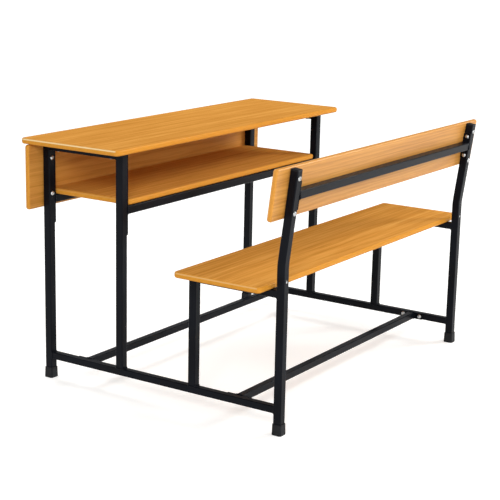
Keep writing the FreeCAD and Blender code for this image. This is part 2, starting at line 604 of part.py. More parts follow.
NUT_BORE, NUT_RIM, COLLAR_RIM = f"{BOLT_HOLE} / 2", "nut_body / 2", "nut_collar / 2"
COLLAR_TOP = "(nut_length - tube_wall)"
COLLAR_FOOT = f"({COLLAR_TOP} - nut_collar_length)"
rivet_nut = turned("rivet_nut", [(NUT_BORE, "0"), (NUT_RIM, "0"), (NUT_RIM, COLLAR_FOOT),
                                 (COLLAR_RIM, COLLAR_FOOT), (COLLAR_RIM, COLLAR_TOP), (NUT_RIM, COLLAR_TOP),
                                 (NUT_RIM, "nut_length"), (NUT_BORE, "nut_length")])
board_insert = turned("board_insert", [(NUT_BORE, "0"), (NUT_RIM, "0"), (NUT_RIM, "board_grip"),
                                       (NUT_BORE, "board_grip")])

LEG_LINES = [f"{sign} * {LEG_X}" for sign in SIDES.values()]
panel_seats = [(spot(x, "front_leg_setback", f"{PANEL_BOTTOM} + {row}"), BACKWARD)
               for x in LEG_LINES for row in PANEL_ROWS]
fasteners("modesty_panel_bolts", through_bolt, LEG_GRIP, panel_seats)

backrest_seats = [(lean_spot(x, "-leg_size / 2", rise), LEAN_BACK)
                  for x in LEG_LINES for rise in (BACK_BOLT_TOP, BACK_BOLT_LOW)]
fasteners("backrest_bolts", through_bolt, LEG_GRIP, backrest_seats)

# End plate bolts, and the rivet nuts that hold them in the walls of the side frames.
cross_nuts, shelf_nuts, rail_nuts = [], [], []
for side, sign in SIDES.items():
    rail_face, leg_face = f"{sign} * {RAIL_INNER}", f"{sign} * {LEG_INNER}"
    for step in ("+ plate_bolt_reach", "- plate_bolt_reach"):
        for rail_y in (FRONT_CROSS_Y, REAR_CROSS_Y):
            cross_nuts.append((spot(rail_face, f"{rail_y} {step}", RAIL_MIDDLE), INWARD[side]))
        rail_nuts.append((lean_spot(leg_face, "0", f"{BACK_RAIL_RISE} {step}"), INWARD[side]))
    for leg_y in (REAR_LEG_Y, FRONT_LEG_Y):
        shelf_nuts += [(spot(leg_face, leg_y, bolt), INWARD[side]) for bolt in SHELF_BOLTS]
BOLTED = {"cross_rail_bolts": cross_nuts, "shelf_rail_bolts": shelf_nuts, "backrest_rail_bolts": rail_nuts}
for label, nuts in BOLTED.items():
    heads = [(face + heading * number("plate_thickness"), heading) for face, heading in nuts]
    fasteners(label, plate_bolt, "plate_bolt_grip", heads)
fasteners("rivet_nuts", rivet_nut, "nut_length", cross_nuts + shelf_nuts + rail_nuts)

# Threaded inserts in the modesty panel and the backrest, one for each bolt through a leg.
INSERTED = {"modesty_panel_inserts": panel_seats, "backrest_inserts": backrest_seats}
for label, heads in INSERTED.items():
    mouths = [(head - heading * number("leg_size"), heading) for head, heading in heads]
    fasteners(label, board_insert, "board_grip", mouths)

desktop_seats = [(spot(x, y, f"{TOP_UNDER} - rail_size"), DOWNWARD) for x in LEG_LINES for y in TOP_SCREWS]
fasteners("desktop_screws", rail_screw, RAIL_GRIP, desktop_seats)

seat_seats = [(spot(x, y, f"{SEAT_UNDER} - rail_size"), DOWNWARD) for x in LEG_LINES for y in SEAT_SCREWS]
fasteners("seat_screws", rail_screw, RAIL_GRIP, seat_seats)

shelf_screw_seats = [(spot(f"{sign} * {SHELF_SCREW_X}", y, f"{SHELF_UNDER} - leg_size"), DOWNWARD)
                     for sign in SIDES.values() for y in (REAR_LEG_Y, FRONT_LEG_Y)]
fasteners("shelf_screws", shelf_screw, LEG_GRIP, shelf_screw_seats)

# Rivets: only their low heads stand on the back faces of the uprights.
rivets = doc.addObject("Part::Feature", "upright_rivets")
rivet_radius, rivet_rise = number("rivet_head / 2"), number("rivet_rise")
rivet_spots = [spot(x, "0", "seat_height + rivet_lift") for x in LEG_LINES]
rivet_heads = [Part.makeCylinder(rivet_radius, rivet_rise, at, BACKWARD) for at in rivet_spots]
rivets.Shape = Part.makeCompound(rivet_heads)
rivets.Placement = FreeCAD.Placement(Vector(0, -number(ORIGIN_Y), 0), Rotation())
parts.append(rivets)

# Every object has to be sound before anything is written.
doc.recompute()
for item in doc.Objects:
    if "Invalid" in item.State or "Error" in item.State:
        raise RuntimeError(f"{item.Name} failed: {item.State}")
for item in parts:
    if item.Shape.isNull() or not item.Shape.isValid():
        raise RuntimeError(f"{item.Label} has no valid shape")

os.makedirs("parts", exist_ok=True)
for item in parts:
    item.Shape.exportStep(f"parts/{item.Label}.step")
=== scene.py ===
import math

import bpy
from mathutils import Matrix, Vector


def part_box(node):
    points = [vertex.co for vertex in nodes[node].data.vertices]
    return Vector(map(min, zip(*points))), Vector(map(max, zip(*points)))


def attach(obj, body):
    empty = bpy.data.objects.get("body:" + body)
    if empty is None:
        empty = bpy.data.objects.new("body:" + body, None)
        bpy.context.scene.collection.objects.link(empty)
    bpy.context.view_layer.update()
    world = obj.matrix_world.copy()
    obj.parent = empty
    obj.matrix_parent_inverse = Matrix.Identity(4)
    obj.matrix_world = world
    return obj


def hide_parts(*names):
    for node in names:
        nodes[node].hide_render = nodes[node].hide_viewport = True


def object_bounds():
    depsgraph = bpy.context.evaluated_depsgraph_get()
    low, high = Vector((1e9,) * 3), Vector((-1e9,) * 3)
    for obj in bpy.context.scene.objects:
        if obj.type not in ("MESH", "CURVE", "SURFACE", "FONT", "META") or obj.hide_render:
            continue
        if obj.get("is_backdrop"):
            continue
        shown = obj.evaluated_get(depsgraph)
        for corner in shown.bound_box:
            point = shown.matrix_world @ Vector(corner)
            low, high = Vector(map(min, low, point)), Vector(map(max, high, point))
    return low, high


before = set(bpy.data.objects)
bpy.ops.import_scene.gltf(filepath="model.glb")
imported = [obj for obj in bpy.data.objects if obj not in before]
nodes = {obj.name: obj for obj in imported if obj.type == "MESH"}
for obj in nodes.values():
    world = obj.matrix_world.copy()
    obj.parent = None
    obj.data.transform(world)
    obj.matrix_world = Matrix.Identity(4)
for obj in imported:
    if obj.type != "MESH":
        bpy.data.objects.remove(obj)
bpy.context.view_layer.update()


# Side frames and cross rails: square tube of mild steel, sawn, welded and sprayed with black
# powder that is baked to a smooth glossy skin. Each cross rail has a flat plate at either end,
# which bolts to the inner face of a side frame.
SIDES = ("left", "right")
FRAME_TUBES = ("front_leg", "rear_leg", "top_rail", "bottom_rail", "bench_leg", "seat_rail",
               "back_upright")
CROSS_RAILS = ("shelf_front_rail", "shelf_back_rail", "front_cross_rail", "rear_cross_rail",
               "backrest_rail")
MM = 0.001


def linear(colour):
    """An sRGB hex colour as the linear colour that a shader takes."""
    channels = [int(colour[at:at + 2], 16) / 255 for at in (1, 3, 5)]
    red, green, blue = [c / 12.92 if c <= 0.04045 else ((c + 0.055) / 1.055) ** 2.4 for c in channels]
    return red, green, blue, 1.0


def add(tree, kind, inputs=None, **settings):
    """Add a node with its settings; each input is a value, or the output or outputs that feed it."""
    made = tree.nodes.new(kind)
    for name, value in settings.items():
        setattr(made, name, value)
    for key, value in (inputs or {}).items():
        for source in value if isinstance(value, list) else [value]:
            if isinstance(source, bpy.types.NodeSocket):
                tree.links.new(source, made.inputs[key])
            else:
                made.inputs[key].default_value = source
    return made


def new_finish(name):
    """A new material with its node tree, its main shader and the object's own coordinates."""
    material = bpy.data.materials.new(name)
    material.use_nodes = True
    tree = material.node_tree
    place = add(tree, "ShaderNodeTexCoord").outputs["Object"]
    return material, tree, tree.nodes["Principled BSDF"], place


def cover(material, *names):
    """Give the named nodes of the frame one finish all over."""
    for name in names:
        nodes[name].data.materials.clear()
        nodes[name].data.materials.append(material)


# Baked powder flows out to a gloss with a faint orange peel, whose dimples are about 3 mm apart,
# and the film is a little thicker in some places than in others.
PEEL_SPACING = 3 * MM
PEEL_DEPTH = 0.3 * MM
FILM_PATCH = 140 * MM
THIN_FILM = "#0A0C11"
THICK_FILM = "#11141B"
black_powder, tree, shader, place = new_finish("black powder coat")
peel = add(tree, "ShaderNodeTexNoise", {"Vector": place, "Scale": 1 / PEEL_SPACING, "Detail": 2.0})
film = add(tree, "ShaderNodeTexNoise", {"Vector": place, "Scale": 1 / FILM_PATCH, "Detail": 3.0})
shade = add(tree, "ShaderNodeValToRGB", {"Fac": film.outputs["Fac"]})
shade.color_ramp.elements[0].position = 0.3
shade.color_ramp.elements[0].color = linear(THIN_FILM)
shade.color_ramp.elements[1].position = 0.7
shade.color_ramp.elements[1].color = linear(THICK_FILM)
gloss = add(tree, "ShaderNodeMapRange", {"Value": film.outputs["Fac"], "To Min": 0.26, "To Max": 0.36})
dimples = add(tree, "ShaderNodeBump", {"Height": peel.outputs["Fac"], "Strength": 0.12,
                                       "Distance": PEEL_DEPTH})
tree.links.new(shade.outputs["Color"], shader.inputs["Base Color"])
tree.links.new(gloss.outputs["Result"], shader.inputs["Roughness"])
tree.links.new(dimples.outputs["Normal"], shader.inputs["Normal"])
shader.inputs["Specular IOR Level"].default_value = 0.07

cover(black_powder, *[f"{side}_{tube}" for side in SIDES for tube in FRAME_TUBES])
cover(black_powder, *CROSS_RAILS, *[f"{rail}_{side}_plate" for rail in CROSS_RAILS for side in SIDES])


# Weld seams: a bead of filler laid round the end of each tube where it meets the next one or its
# end plate, left as it cooled, with its small ripples, and sprayed black with the frame. The bead
# and its corners are shares of half the tube's width.
BEAD_SHARE = 0.17
CORNER_SHARE = 0.2
RIPPLES = 22
RIPPLE_SHARE = 0.14
PATH_POINTS = 96
CORNER_POINTS = 3
BEAD_SIDES = 8
SHARP_BEND = math.radians(40)
HALF_LEG = 12.5 * MM
LEAN = math.radians(7.3)
QUARTER_TURN = math.radians(90)
ALONG_X = (0, QUARTER_TURN, 0)
ALONG_Y = (QUARTER_TURN, 0, 0)
ALONG_Z = (0, 0, 0)
ALONG_LEANING_RAIL = (-LEAN, QUARTER_TURN, 0)


def middle(name):
    """The middle of a node's box."""
    low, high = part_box(name)
    return (low + high) / 2


def marks(name, places):
    """A mesh of loose points, each with the turn and the size of what will stand on it."""
    mesh = bpy.data.meshes.new(name)
    mesh.from_pydata([at for at, turn, size in places], [], [])
    mesh.attributes.new("turn", "FLOAT_VECTOR", "POINT")
    mesh.attributes.new("size", "FLOAT", "POINT")
    for index, (at, turn, size) in enumerate(places):
        mesh.attributes["turn"].data[index].vector = turn
        mesh.attributes["size"].data[index].value = size
    piece = bpy.data.objects.new(name, mesh)
    bpy.context.scene.collection.objects.link(piece)
    return piece


def grow(piece, tree, **inputs):
    """Run a geometry tree on a piece and keep the result as its plain mesh."""
    modifier = piece.modifiers.new("grow", "NODES")
    modifier.node_group = tree
    for socket in tree.interface.items_tree:
        if socket.in_out == "INPUT" and socket.name in inputs:
            modifier[socket.identifier] = inputs[socket.name]
    evaluated = piece.evaluated_get(bpy.context.evaluated_depsgraph_get())
    mesh = bpy.data.meshes.new_from_object(evaluated)
    piece.modifiers.clear()
    piece.data = mesh
    mesh.shade_smooth()
    mesh.set_sharp_from_angle(angle=SHARP_BEND)
    return piece


def new_tree(name, **sockets):
    """A geometry tree with its named inputs; returns it with its input node."""
    tree = bpy.data.node_groups.new(name, "GeometryNodeTree")
    tree.interface.new_socket("Geometry", in_out="INPUT", socket_type="NodeSocketGeometry")
    for socket, kind in sockets.items():
        tree.interface.new_socket(socket, in_out="INPUT", socket_type=kind)
    tree.interface.new_socket("Geometry", in_out="OUTPUT", socket_type="NodeSocketGeometry")
    return tree, add(tree, "NodeGroupInput")


seam_tree, given = new_tree("weld seam", bead_share="NodeSocketFloat", corner_share="NodeSocketFloat",
                            ripples="NodeSocketFloat", ripple_share="NodeSocketFloat",
                            finish="NodeSocketMaterial")
square = add(seam_tree, "GeometryNodeCurvePrimitiveQuadrilateral", {"Width": 2.0, "Height": 2.0})
rounded = add(seam_tree, "GeometryNodeFilletCurve",
              {"Curve": square.outputs[0], "Radius": given.outputs["corner_share"],
               "Count": CORNER_POINTS}, mode="POLY")
path = add(seam_tree, "GeometryNodeResampleCurve", {"Curve": rounded.outputs[0], "Count": PATH_POINTS})
along = add(seam_tree, "GeometryNodeSplineParameter")
phase = add(seam_tree, "ShaderNodeMath", {0: along.outputs["Factor"], 1: given.outputs["ripples"]},
            operation="MULTIPLY")
wave = add(seam_tree, "ShaderNodeMath", {0: phase.outputs[0]}, operation="SINE")
swell = add(seam_tree, "ShaderNodeMath", {0: wave.outputs[0], 1: given.outputs["ripple_share"], 2: 1.0},
            operation="MULTIPLY_ADD")
thick = add(seam_tree, "ShaderNodeMath", {0: swell.outputs[0], 1: given.outputs["bead_share"]},
            operation="MULTIPLY")
circle = add(seam_tree, "GeometryNodeCurvePrimitiveCircle", {"Resolution": BEAD_SIDES, "Radius": 1.0})
bead = add(seam_tree, "GeometryNodeCurveToMesh",
           {"Curve": path.outputs[0], "Profile Curve": circle.outputs[0], "Scale": thick.outputs[0]})
turn = add(seam_tree, "GeometryNodeInputNamedAttribute", {"Name": "turn"}, data_type="FLOAT_VECTOR")
turned = add(seam_tree, "FunctionNodeEulerToRotation", {0: turn.outputs[0]})
size = add(seam_tree, "GeometryNodeInputNamedAttribute", {"Name": "size"}, data_type="FLOAT")
seams = add(seam_tree, "GeometryNodeInstanceOnPoints",
            {"Points": given.outputs["Geometry"], "Instance": bead.outputs[0],
             "Rotation": turned.outputs[0], "Scale": size.outputs[0]})
real = add(seam_tree, "GeometryNodeRealizeInstances", {0: seams.outputs[0]})
sprayed = add(seam_tree, "GeometryNodeSetMaterial",
              {"Geometry": real.outputs[0], "Material": given.outputs["finish"]})
add(seam_tree, "NodeGroupOutput", {0: sprayed.outputs[0]})

seam_places = []
for side in SIDES:
    for rail in ("top_rail", "bottom_rail", "seat_rail"):
        low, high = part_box(f"{side}_{rail}")
        centre = middle(f"{side}_{rail}")
        for end in (low.y, high.y):
            seam_places.append(((centre.x, end, centre.z), ALONG_Y, (high.z - low.z) / 2))
    for post in ("rear_leg", "bench_leg"):
        low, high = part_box(f"{side}_{post}")
        centre = middle(f"{side}_{post}")
        seam_places.append(((centre.x, centre.y, low.z), ALONG_Z, (high.y - low.y) / 2))
for rail in CROSS_RAILS:
    low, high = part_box(rail)
    centre = middle(rail)
    leans = rail == "backrest_rail"
    half = HALF_LEG if leans else (high.z - low.z) / 2
    for end in (low.x, high.x):
        seam_places.append(((end, centre.y, centre.z), ALONG_LEANING_RAIL if leans else ALONG_X, half))
weld_seams = grow(marks("weld_seams", seam_places), seam_tree, bead_share=BEAD_SHARE,
                  corner_share=CORNER_SHARE, ripples=2 * math.pi * RIPPLES, ripple_share=RIPPLE_SHARE,
                  finish=black_powder)
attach(weld_seams, "root")


# Boards: chipboard or plywood faced with wood-grain laminate, the grain along the board. Corners
# and edges are rounded over, sealed and lacquered, so that the rims show paler and yellower, and
# a painted highlight lies along the upper arrises of the ends.
FIBRE_LENGTH = 220 * MM
FIBRE_WIDTH = 2.5 * MM
BAND_LENGTH = 550 * MM
BAND_WIDTH = 22 * MM
RING_SPACING = 11 * MM
WAVE_SPACING = 0.314
LOG_HEART = (0.0, 0.37, -0.2)
LOG_STRETCH = (0.06, 1.0, 1.0)
BAND_PART = 0.45
FIBRE_PART = 0.45
RING_PART = 0.12
PORE_DEPTH = 0.3 * MM
DARK_GRAIN = "#B3762D"
MIDDLE_GRAIN = "#CB8C3F"
PALE_GRAIN = "#DC9F4F"
SEALED_RIM = "#DA9330"
# Colour of the painted highlight along the upper arrises of the ends.
PAINTED_ARRIS_HIGHLIGHT = "#F7DDA6"
FLAT_ENDS = 0.98
RIM_FULL = 0.7
RIM_SEALED = 0.7
RIM_LACQUERED = 0.4
ARRIS_STARTS = 0.05
ARRIS_FULL = 0.1
END_FOCUS = 8.0
UP = (0, 0, 1)
FORWARD = (0, 1, 0)
FORWARD_OF_LEAN = (0, math.cos(LEAN), math.sin(LEAN))


def wood_laminate(name, face, sheen, highlight_strength):
    """Oiled-teak laminate; FACE is where the board's better side looks, SHEEN how much the flat
    sides mirror, and the last how strong the painted highlight on the upper arrises of the ends is."""
    material, tree, shader, place = new_finish(name)
    fibre_place = add(tree, "ShaderNodeMapping", {"Vector": place})
    fibre_place.inputs["Scale"].default_value = (1 / FIBRE_LENGTH, 1 / FIBRE_WIDTH, 1 / FIBRE_WIDTH)
    fibres = add(tree, "ShaderNodeTexNoise",
                 {"Vector": fibre_place.outputs[0], "Scale": 1.0, "Detail": 5.0, "Roughness": 0.62,
                  "Distortion": 0.35})
    band_place = add(tree, "ShaderNodeMapping", {"Vector": place})
    band_place.inputs["Scale"].default_value = (1 / BAND_LENGTH, 1 / BAND_WIDTH, 1 / BAND_WIDTH)
    bands = add(tree, "ShaderNodeTexNoise", {"Vector": band_place.outputs[0], "Scale": 1.0, "Detail": 3.0})

    # The rings of a wave texture of scale 1 lie WAVE_SPACING apart.
    ring_place = add(tree, "ShaderNodeMapping", {"Vector": place})
    ring_place.inputs["Location"].default_value = LOG_HEART
    ring_place.inputs["Scale"].default_value = LOG_STRETCH
    rings = add(tree, "ShaderNodeTexWave",
                {"Vector": ring_place.outputs[0], "Scale": WAVE_SPACING / RING_SPACING, "Distortion": 7.0,
                 "Detail": 3.0, "Detail Scale": 2.2}, wave_type="RINGS", rings_direction="X")

    # Bands and fibres make the figure in equal parts, with a hint of the rings.
    figure = add(tree, "ShaderNodeMath", {0: bands.outputs["Fac"], 1: BAND_PART}, operation="MULTIPLY")
    figure = add(tree, "ShaderNodeMath",
                 {0: fibres.outputs["Fac"], 1: FIBRE_PART, 2: figure.outputs[0]}, operation="MULTIPLY_ADD")
    figure = add(tree, "ShaderNodeMath",
                 {0: rings.outputs["Fac"], 1: RING_PART, 2: figure.outputs[0]}, operation="MULTIPLY_ADD")
    tone = add(tree, "ShaderNodeValToRGB", {"Fac": figure.outputs[0]})
    tone.color_ramp.elements[0].position = 0.3
    tone.color_ramp.elements[0].color = linear(DARK_GRAIN)
    tone.color_ramp.elements[1].position = 0.7
    tone.color_ramp.elements[1].color = linear(PALE_GRAIN)
    tone.color_ramp.elements.new(0.5).color = linear(MIDDLE_GRAIN)

    # The rim is where the surface turns away from the flat sides.
    looks = add(tree, "ShaderNodeNewGeometry").outputs["Normal"]
    facing = add(tree, "ShaderNodeVectorMath", {0: looks, 1: face}, operation="DOT_PRODUCT").outputs["Value"]
    flat = add(tree, "ShaderNodeMath", {0: facing}, operation="ABSOLUTE")
    rim = add(tree, "ShaderNodeMapRange",
              {"Value": flat.outputs[0], "From Min": FLAT_ENDS, "From Max": RIM_FULL})
    sealed = add(tree, "ShaderNodeMath", {0: rim.outputs["Result"], 1: RIM_SEALED}, operation="MULTIPLY")
    colour = add(tree, "ShaderNodeMix",
                 {0: sealed.outputs[0], 6: tone.outputs["Color"], 7: linear(SEALED_RIM)}, data_type="RGBA")

    # The painted highlight goes where an arris looks mostly along the board and a little to its better side.
    across = add(tree, "ShaderNodeSeparateXYZ", {0: looks})
    endward = add(tree, "ShaderNodeMath", {0: across.outputs["X"]}, operation="ABSOLUTE")
    endward = add(tree, "ShaderNodeMath", {0: endward.outputs[0], 1: END_FOCUS}, operation="POWER")
    arris = add(tree, "ShaderNodeMath", {0: endward.outputs[0], 1: facing}, operation="MULTIPLY")
    painted_highlight = add(tree, "ShaderNodeMapRange",
                 {"Value": arris.outputs[0], "From Min": ARRIS_STARTS, "From Max": ARRIS_FULL,
                  "To Max": highlight_strength})
    colour = add(tree, "ShaderNodeMix",
                 {0: painted_highlight.outputs["Result"], 6: colour.outputs[2], 7: linear(PAINTED_ARRIS_HIGHLIGHT)},
                 data_type="RGBA")

    lacquer = add(tree, "ShaderNodeMath", {0: rim.outputs["Result"], 1: RIM_LACQUERED},
                  operation="MULTIPLY")
    satin = add(tree, "ShaderNodeMapRange", {"Value": fibres.outputs["Fac"], "To Min": 0.34, "To Max": 0.46})
    pores = add(tree, "ShaderNodeBump", {"Height": fibres.outputs["Fac"], "Strength": 0.06,
                                         "Distance": PORE_DEPTH})
    tree.links.new(colour.outputs[2], shader.inputs["Base Color"])
    tree.links.new(satin.outputs["Result"], shader.inputs["Roughness"])
    tree.links.new(pores.outputs["Normal"], shader.inputs["Normal"])
    tree.links.new(lacquer.outputs[0], shader.inputs["Coat Weight"])
    shader.inputs["Coat Roughness"].default_value = 0.25
    shader.inputs["Coat IOR"].default_value = 1.2
    shader.inputs["Specular IOR Level"].default_value = sheen
    return material


# The last figure of each board sets how strong its painted arris highlight is.
cover(wood_laminate("wood laminate, desktop", UP, sheen=0.0, highlight_strength=0.9), "desktop")
cover(wood_laminate("wood laminate, seat", UP, sheen=0.0, highlight_strength=0.3), "bench_seat")
cover(wood_laminate("wood laminate, shelf", UP, sheen=0.0, highlight_strength=0.1), "book_shelf")
cover(wood_laminate("wood laminate, upright", FORWARD, sheen=0.1, highlight_strength=0.1), "modesty_panel")
cover(wood_laminate("wood laminate, leaning", FORWARD_OF_LEAN, sheen=0.3, highlight_strength=0.1), "backrest")


# Foot boots: soft black rubber cups, moulded with a flare, pushed over the ends of the legs.
# Moulded rubber is matt, with a fine sparked texture and a little floor dust.
RUBBER_GRAIN = 1.2 * MM
RUBBER_GRAIN_DEPTH = 0.2 * MM
DUST_PATCH = 20 * MM
CLEAN_RUBBER = "#0C0D11"
DUSTY_RUBBER = "#17191E"
boot_rubber, tree, shader, place = new_finish("moulded rubber")
grain = add(tree, "ShaderNodeTexNoise", {"Vector": place, "Scale": 1 / RUBBER_GRAIN, "Detail": 2.0})
dust = add(tree, "ShaderNodeTexNoise", {"Vector": place, "Scale": 1 / DUST_PATCH, "Detail": 4.0})
shade = add(tree, "ShaderNodeValToRGB", {"Fac": dust.outputs["Fac"]})
shade.color_ramp.elements[0].position = 0.4
shade.color_ramp.elements[0].color = linear(CLEAN_RUBBER)
shade.color_ramp.elements[1].position = 0.75
shade.color_ramp.elements[1].color = linear(DUSTY_RUBBER)
bumps = add(tree, "ShaderNodeBump", {"Height": grain.outputs["Fac"], "Strength": 0.2,
                                     "Distance": RUBBER_GRAIN_DEPTH})
tree.links.new(shade.outputs["Color"], shader.inputs["Base Color"])
tree.links.new(bumps.outputs["Normal"], shader.inputs["Normal"])
shader.inputs["Roughness"].default_value = 0.5
shader.inputs["Specular IOR Level"].default_value = 0.2
cover(boot_rubber, *[f"{side}_{end}_boot" for side in SIDES for end in ("front", "back")])


# Upright plugs: black polyethylene, moulded with a softly rounded head and pressed into the open
# tube. The head has the satin look and slight mottle of plastic from a textured mould.
PLASTIC_MOTTLE = 2 * MM
DARK_PLASTIC = "#0E0F13"
PALE_PLASTIC = "#181A20"
plug_plastic, tree, shader, place = new_finish("moulded polyethylene")
mottle = add(tree, "ShaderNodeTexNoise", {"Vector": place, "Scale": 1 / PLASTIC_MOTTLE, "Detail": 3.0})
shade = add(tree, "ShaderNodeValToRGB", {"Fac": mottle.outputs["Fac"]})
shade.color_ramp.elements[0].color = linear(DARK_PLASTIC)
shade.color_ramp.elements[1].color = linear(PALE_PLASTIC)
skin = add(tree, "ShaderNodeMapRange", {"Value": mottle.outputs["Fac"], "To Min": 0.4, "To Max": 0.55})
tree.links.new(shade.outputs["Color"], shader.inputs["Base Color"])
tree.links.new(skin.outputs["Result"], shader.inputs["Roughness"])
shader.inputs["Specular IOR Level"].default_value = 0.2
cover(plug_plastic, *[f"{side}_upright_cap" for side in SIDES])


# Bolts, screws and rivets: steel, cold headed, bright zinc plated. The frame bolts have domed heads
# with a hexagon socket, the board screws a square one, and each rivet the pit of its pulled pin.
ZINC_MOTTLE = 4 * MM
DULL_ZINC = "#A4A6A8"
BRIGHT_ZINC = "#D2D3D2"
bright_zinc, tree, shader, place = new_finish("bright zinc plate")
spangle = add(tree, "ShaderNodeTexNoise", {"Vector": place, "Scale": 1 / ZINC_MOTTLE, "Detail": 3.0})
shade = add(tree, "ShaderNodeValToRGB", {"Fac": spangle.outputs["Fac"]})
shade.color_ramp.elements[0].color = linear(DULL_ZINC)
shade.color_ramp.elements[1].color = linear(BRIGHT_ZINC)
polish = add(tree, "ShaderNodeMapRange", {"Value": spangle.outputs["Fac"], "To Min": 0.25, "To Max": 0.4})
tree.links.new(shade.outputs["Color"], shader.inputs["Base Color"])
tree.links.new(polish.outputs["Result"], shader.inputs["Roughness"])
shader.inputs["Metallic"].default_value = 1.0

# The head is a disc whose upper points are lifted: a low rim, and a round dome above it.
DOME_OF_RISE = 0.75
RIM_OF_RISE = 0.25
HEAD_SIDES = 28
HEAD_RINGS = 5
SHANK_SIDES = 14
pin_tree, given = new_tree("headed pin", head="NodeSocketFloat", rise="NodeSocketFloat",
                           socket="NodeSocketFloat", socket_sides="NodeSocketInt", shank="NodeSocketFloat",
                           grip="NodeSocketFloat", finish="NodeSocketMaterial")
rim_radius = add(pin_tree, "ShaderNodeMath", {0: given.outputs["head"], 1: 0.5}, operation="MULTIPLY")
blank = add(pin_tree, "GeometryNodeMeshCylinder",
            {"Vertices": HEAD_SIDES, "Fill Segments": HEAD_RINGS, "Radius": rim_radius.outputs[0],
             "Depth": 1.0})
where = add(pin_tree, "GeometryNodeInputPosition").outputs[0]
parted = add(pin_tree, "ShaderNodeSeparateXYZ", {0: where})
across = add(pin_tree, "ShaderNodeVectorMath", {0: where, 1: (1, 1, 0)}, operation="MULTIPLY")
reach = add(pin_tree, "ShaderNodeVectorMath", {0: across.outputs[0]}, operation="LENGTH")
share = add(pin_tree, "ShaderNodeMath", {0: reach.outputs["Value"], 1: rim_radius.outputs[0]},
            operation="DIVIDE")
squared = add(pin_tree, "ShaderNodeMath", {0: share.outputs[0], 1: 2.0}, operation="POWER")
below = add(pin_tree, "ShaderNodeMath", {0: 1.0, 1: squared.outputs[0]}, operation="SUBTRACT",
            use_clamp=True)
dome = add(pin_tree, "ShaderNodeMath", {0: below.outputs[0]}, operation="SQRT")
lift = add(pin_tree, "ShaderNodeMath", {0: dome.outputs[0], 1: DOME_OF_RISE, 2: RIM_OF_RISE},
           operation="MULTIPLY_ADD")
tall = add(pin_tree, "ShaderNodeMath", {0: lift.outputs[0], 1: given.outputs["rise"]}, operation="MULTIPLY")
upper = add(pin_tree, "ShaderNodeMath", {0: parted.outputs["Z"], 1: 0.0}, operation="GREATER_THAN")
height = add(pin_tree, "ShaderNodeMath", {0: tall.outputs[0], 1: upper.outputs[0]}, operation="MULTIPLY")
crowned = add(pin_tree, "ShaderNodeCombineXYZ",
              {"X": parted.outputs["X"], "Y": parted.outputs["Y"], "Z": height.outputs[0]})
head = add(pin_tree, "GeometryNodeSetPosition",
           {"Geometry": blank.outputs["Mesh"], "Position": crowned.outputs[0]})

# A punch as tall as the head, set half into it, leaves the socket.
key_radius = add(pin_tree, "ShaderNodeMath", {0: given.outputs["socket"], 1: 0.5}, operation="MULTIPLY")
punch = add(pin_tree, "GeometryNodeMeshCylinder",
            {"Vertices": given.outputs["socket_sides"], "Radius": key_radius.outputs[0],
             "Depth": given.outputs["rise"]})
top = add(pin_tree, "ShaderNodeCombineXYZ", {"Z": given.outputs["rise"]})
set_punch = add(pin_tree, "GeometryNodeTransform",
                {"Geometry": punch.outputs["Mesh"], "Translation": top.outputs[0]})
sunk = add(pin_tree, "GeometryNodeMeshBoolean", {"Mesh 1": head.outputs[0], "Mesh 2": set_punch.outputs[0]},
           operation="DIFFERENCE")
stem_radius = add(pin_tree, "ShaderNodeMath", {0: given.outputs["shank"], 1: 0.5}, operation="MULTIPLY")
stem = add(pin_tree, "GeometryNodeMeshCylinder",
           {"Vertices": SHANK_SIDES, "Radius": stem_radius.outputs[0], "Depth": given.outputs["grip"]})
half_down = add(pin_tree, "ShaderNodeMath", {0: given.outputs["grip"], 1: -0.5}, operation="MULTIPLY")
stem_at = add(pin_tree, "ShaderNodeCombineXYZ", {"Z": half_down.outputs[0]})
set_stem = add(pin_tree, "GeometryNodeTransform",
               {"Geometry": stem.outputs["Mesh"], "Translation": stem_at.outputs[0]})
pin = add(pin_tree, "GeometryNodeJoinGeometry", {0: [sunk.outputs[0], set_stem.outputs[0]]})
turn = add(pin_tree, "GeometryNodeInputNamedAttribute", {"Name": "turn"}, data_type="FLOAT_VECTOR")
turned = add(pin_tree, "FunctionNodeEulerToRotation", {0: turn.outputs[0]})
pins = add(pin_tree, "GeometryNodeInstanceOnPoints",
           {"Points": given.outputs["Geometry"], "Instance": pin.outputs[0], "Rotation": turned.outputs[0]})
real = add(pin_tree, "GeometryNodeRealizeInstances", {0: pins.outputs[0]})
plated = add(pin_tree, "GeometryNodeSetMaterial",
             {"Geometry": real.outputs[0], "Material": given.outputs["finish"]})
add(pin_tree, "NodeGroupOutput", {0: plated.outputs[0]})

FRAME_BOLT = {"head": 14 * MM, "rise": 4 * MM, "socket": 6 * MM, "socket_sides": 6, "shank": 6 * MM}
BOARD_SCREW = {"head": 9 * MM, "rise": 3 * MM, "socket": 4 * MM, "socket_sides": 4, "shank": 4.5 * MM}
RIVET = {"head": 7 * MM, "rise": 1.5 * MM, "socket": 2.4 * MM, "socket_sides": 12, "shank": 3 * MM}
LEG_GRIP = 36 * MM
RAIL_GRIP = 33 * MM
PLATE_GRIP = 14 * MM
RIVET_GRIP = 1 * MM
PLATE = 3 * MM
PLATE_REACH = 31 * MM
BACKREST_REACH = 49 * MM
INWARD = {"left": 1, "right": -1}
BACKWARD = (QUARTER_TURN, 0, 0)
BACK_AND_DOWN = (QUARTER_TURN + LEAN, 0, 0)
DOWNWARD = (2 * QUARTER_TURN, 0, 0)
UP_THE_LEAN = Vector((0, -math.sin(LEAN), math.cos(LEAN)))
BACK_OF_LEAN = Vector((0, -math.cos(LEAN), -math.sin(LEAN)))


